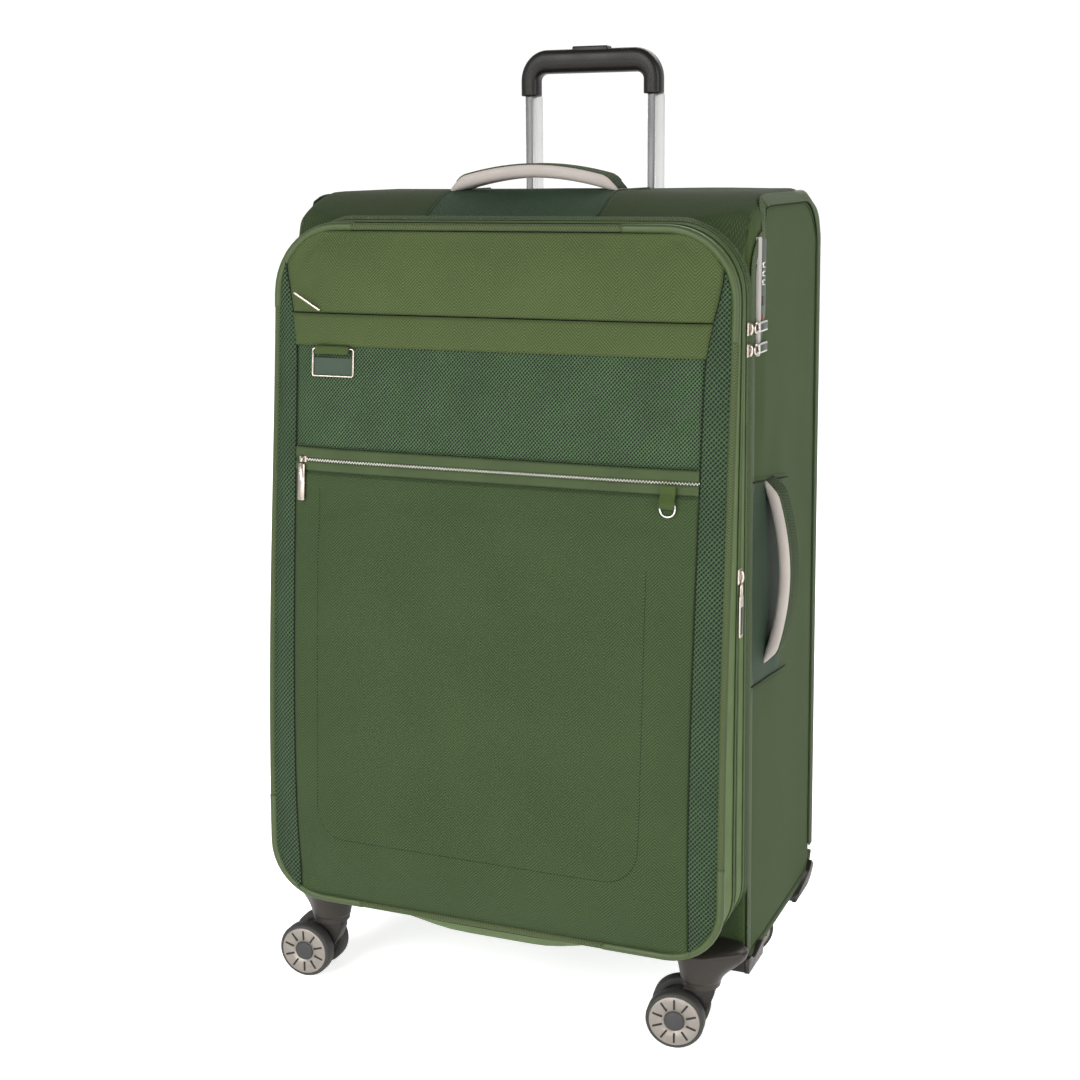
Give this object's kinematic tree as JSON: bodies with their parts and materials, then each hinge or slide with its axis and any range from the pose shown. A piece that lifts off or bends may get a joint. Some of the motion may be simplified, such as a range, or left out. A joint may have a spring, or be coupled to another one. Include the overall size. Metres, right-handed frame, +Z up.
{
  "type": "softside upright suitcase",
  "caption": "Soft-sided fabric upright suitcase with twin-wheel swivel casters, telescopic trolley handle, carry handles, zipped expandable lid with front pockets and a combination lock.",
  "frame": {"origin": "on the floor, under the middle of the overall box", "axes": "+Z up, -Y towards the suitcase's front pockets, +X towards its lock and side handle"},
  "size_m": [0.5007, 0.3252, 0.913],
  "materials": {
    "green_fabric": "olive green twill polyester",
    "green_mesh": "dark green coarse honeycomb mesh",
    "grey_mesh": "padded pale grey mesh",
    "black_plastic": "fine-grained matte black moulding",
    "aluminium": "silver anodised extrusion",
    "satin_metal": "satin plated die casting",
    "steel": "plain steel pin",
    "tyre": "dark grey soft tread with a grey outer disc"
  },
  "bodies": {
    "case": {"case_shell": "green_fabric", "opening_frame": "black_plastic", "back_board": "black_plastic", "trolley_well": "black_plastic", "trolley_foot": "black_plastic", "outer_tube_left": "aluminium", "outer_tube_right": "aluminium", "caster_housing_front_left": "black_plastic", "caster_housing_front_right": "black_plastic", "caster_housing_rear_left": "black_plastic", "caster_housing_rear_right": "black_plastic", "top_handle": "grey_mesh", "side_handle": "grey_mesh", "lock_body": "satin_metal"},
    "lid": {"lid_gusset": "green_fabric"},
    "lid_front": {"lid_front_shell": "green_fabric", "upper_pocket_panel": "green_fabric", "front_band": "green_fabric", "front_mesh_panel": "green_mesh", "lower_pocket_panel": "green_fabric", "side_mesh_strip_left": "green_mesh", "side_mesh_strip_right": "green_mesh", "badge_plate": "satin_metal", "d_ring_loop": "green_fabric"},
    "trolley_middle": {"middle_tube_left": "aluminium", "middle_tube_right": "aluminium"},
    "trolley_inner": {"inner_tube_left": "aluminium", "inner_tube_right": "aluminium", "grip": "black_plastic"},
    "release_button": {"grip_button": "black_plastic"},
    "lock_button": {"lock_button": "black_plastic"},
    "main_slider_upper": {"main_slider_upper": "satin_metal"},
    "main_slider_lower": {"main_slider_lower": "satin_metal"},
    "main_pull_tab_upper": {"main_pull_tab_upper": "satin_metal"},
    "main_pull_tab_lower": {"main_pull_tab_lower": "satin_metal"},
    "pocket_slider": {"pocket_slider": "satin_metal"},
    "pocket_pull_tab": {"pocket_pull_tab": "satin_metal"},
    "slit_pocket_pull": {"slit_pocket_pull": "satin_metal"},
    "expansion_slider": {"expansion_slider": "satin_metal"},
    "expansion_pull_tab": {"expansion_pull_tab": "satin_metal"},
    "d_ring": {"d_ring": "satin_metal"},
    "caster_front_left": {"fork_front_left": "black_plastic", "axle_front_left": "steel"},
    "wheel_front_left_a": {"wheel_front_left_a": "tyre"},
    "wheel_front_left_b": {"wheel_front_left_b": "tyre"},
    "caster_front_right": {"fork_front_right": "black_plastic", "axle_front_right": "steel"},
    "wheel_front_right_a": {"wheel_front_right_a": "tyre"},
    "wheel_front_right_b": {"wheel_front_right_b": "tyre"},
    "caster_rear_left": {"fork_rear_left": "black_plastic", "axle_rear_left": "steel"},
    "wheel_rear_left_a": {"wheel_rear_left_a": "tyre"},
    "wheel_rear_left_b": {"wheel_rear_left_b": "tyre"},
    "caster_rear_right": {"fork_rear_right": "black_plastic", "axle_rear_right": "steel"},
    "wheel_rear_right_a": {"wheel_rear_right_a": "tyre"},
    "wheel_rear_right_b": {"wheel_rear_right_b": "tyre"},
    "lock_dial_1": {"lock_dial_1": "black_plastic"},
    "lock_dial_2": {"lock_dial_2": "black_plastic"},
    "lock_dial_3": {"lock_dial_3": "black_plastic"}
  },
  "joints": [
    {"name": "lid_hinge", "type": "hinge", "parent": "case", "child": "lid", "pos_m": [-0.23245, -0.0804, 0.43], "axis": [0, 0, -1], "range_deg": [0, 110]},
    {"name": "expansion", "type": "slide", "parent": "lid", "child": "lid_front", "axis": [0, -1, 0], "range_m": [0, 0.04]},
    {"name": "trolley_middle_slide", "type": "slide", "parent": "case", "child": "trolley_middle", "axis": [0, 0, 1], "range_m": [0, 0.16]},
    {"name": "trolley_inner_slide", "type": "slide", "parent": "trolley_middle", "child": "trolley_inner", "axis": [0, 0, 1], "range_m": [-0.129, 0.04]},
    {"name": "release_button_press", "type": "slide", "parent": "trolley_inner", "child": "release_button", "axis": [0, 0, -1], "range_m": [0, 0.004], "stiffness_N_per_m": 300, "springref_m": -0.002},
    {"name": "swivel_front_left", "type": "hinge", "parent": "case", "child": "caster_front_left", "pos_m": [-0.1984, -0.1034, 0.0575], "axis": [0, 0, 1], "continuous": true},
    {"name": "wheel_front_left_a_spin", "type": "hinge", "parent": "caster_front_left", "child": "wheel_front_left_a", "pos_m": [-0.21939, -0.10413, 0.0275], "axis": [-0.0349, 0.9994, 0], "continuous": true},
    {"name": "wheel_front_left_b_spin", "type": "hinge", "parent": "caster_front_left", "child": "wheel_front_left_b", "pos_m": [-0.21939, -0.10413, 0.0275], "axis": [-0.0349, 0.9994, 0], "continuous": true},
    {"name": "swivel_front_right", "type": "hinge", "parent": "case", "child": "caster_front_right", "pos_m": [0.1916, -0.1034, 0.0575], "axis": [0, 0, 1], "continuous": true},
    {"name": "wheel_front_right_a_spin", "type": "hinge", "parent": "caster_front_right", "child": "wheel_front_right_a", "pos_m": [0.1708, -0.10632, 0.0275], "axis": [-0.1392, 0.9903, 0], "continuous": true},
    {"name": "wheel_front_right_b_spin", "type": "hinge", "parent": "caster_front_right", "child": "wheel_front_right_b", "pos_m": [0.1708, -0.10632, 0.0275], "axis": [-0.1392, 0.9903, 0], "continuous": true},
    {"name": "swivel_rear_left", "type": "hinge", "parent": "case", "child": "caster_rear_left", "pos_m": [-0.1984, 0.1136, 0.0575], "axis": [0, 0, 1], "continuous": true},
    {"name": "wheel_rear_left_a_spin", "type": "hinge", "parent": "caster_rear_left", "child": "wheel_rear_left_a", "pos_m": [-0.21894, 0.10923, 0.0275], "axis": [-0.2079, 0.9781, 0], "continuous": true},
    {"name": "wheel_rear_left_b_spin", "type": "hinge", "parent": "caster_rear_left", "child": "wheel_rear_left_b", "pos_m": [-0.21894, 0.10923, 0.0275], "axis": [-0.2079, 0.9781, 0], "continuous": true},
    {"name": "swivel_rear_right", "type": "hinge", "parent": "case", "child": "caster_rear_right", "pos_m": [0.1916, 0.1136, 0.0575], "axis": [0, 0, 1], "continuous": true},
    {"name": "wheel_rear_right_a_spin", "type": "hinge", "parent": "caster_rear_right", "child": "wheel_rear_right_a", "pos_m": [0.17257, 0.10473, 0.0275], "axis": [-0.4226, 0.9063, 0], "continuous": true},
    {"name": "wheel_rear_right_b_spin", "type": "hinge", "parent": "caster_rear_right", "child": "wheel_rear_right_b", "pos_m": [0.17257, 0.10473, 0.0275], "axis": [-0.4226, 0.9063, 0], "continuous": true},
    {"name": "lock_dial_1_turn", "type": "hinge", "parent": "case", "child": "lock_dial_1", "pos_m": [0.2209, -0.0464, 0.7135], "axis": [0, 0, 1], "continuous": true},
    {"name": "lock_dial_2_turn", "type": "hinge", "parent": "case", "child": "lock_dial_2", "pos_m": [0.2209, -0.0464, 0.706], "axis": [0, 0, 1], "continuous": true},
    {"name": "lock_dial_3_turn", "type": "hinge", "parent": "case", "child": "lock_dial_3", "pos_m": [0.2209, -0.0464, 0.6985], "axis": [0, 0, 1], "continuous": true},
    {"name": "lock_button_press", "type": "slide", "parent": "case", "child": "lock_button", "axis": [-1, 0, 0], "range_m": [0, 0.0015], "stiffness_N_per_m": 400, "springref_m": -0.001},
    {"name": "main_slider_upper_slide", "type": "slide", "parent": "case", "child": "main_slider_upper", "axis": [-0.0101, 0, 0.9999], "range_m": [0, 0.025]},
    {"name": "main_pull_tab_upper_swing", "type": "hinge", "parent": "main_slider_upper", "child": "main_pull_tab_upper", "pos_m": [0.2253, -0.0764, 0.661], "axis": [0, 0, -1], "range_deg": [0, 150]},
    {"name": "main_slider_lower_slide", "type": "slide", "parent": "case", "child": "main_slider_lower", "axis": [0.0101, 0, -0.9999], "range_m": [0, 0.45]},
    {"name": "main_pull_tab_lower_swing", "type": "hinge", "parent": "main_slider_lower", "child": "main_pull_tab_lower", "pos_m": [0.2253, -0.0764, 0.6425], "axis": [0, 0, -1], "range_deg": [0, 150]},
    {"name": "pocket_slider_slide", "type": "slide", "parent": "lid_front", "child": "pocket_slider", "axis": [0.9999, -0.014, 0], "range_m": [0, 0.335]},
    {"name": "pocket_pull_tab_swing", "type": "hinge", "parent": "pocket_slider", "child": "pocket_pull_tab", "pos_m": [-0.1924, -0.13887, 0.5292], "axis": [-1, 0, 0], "range_deg": [0, 125]},
    {"name": "slit_pocket_pull_slide", "type": "slide", "parent": "lid_front", "child": "slit_pocket_pull", "axis": [0.9999, -0.01, 0], "range_m": [0, 0.35]},
    {"name": "expansion_slider_slide", "type": "slide", "parent": "lid", "child": "expansion_slider", "axis": [-0.0101, 0.0392, 0.9992], "range_m": [-0.2, 0.22]},
    {"name": "expansion_pull_tab_swing", "type": "hinge", "parent": "expansion_slider", "child": "expansion_pull_tab", "pos_m": [0.22455, -0.10528, 0.4395], "axis": [0, -1, 0], "range_deg": [0, 120]},
    {"name": "d_ring_swing", "type": "hinge", "parent": "lid_front", "child": "d_ring", "pos_m": [0.1686, -0.14202, 0.5145], "axis": [-1, 0, 0], "range_deg": [0, 120]}
  ]
}
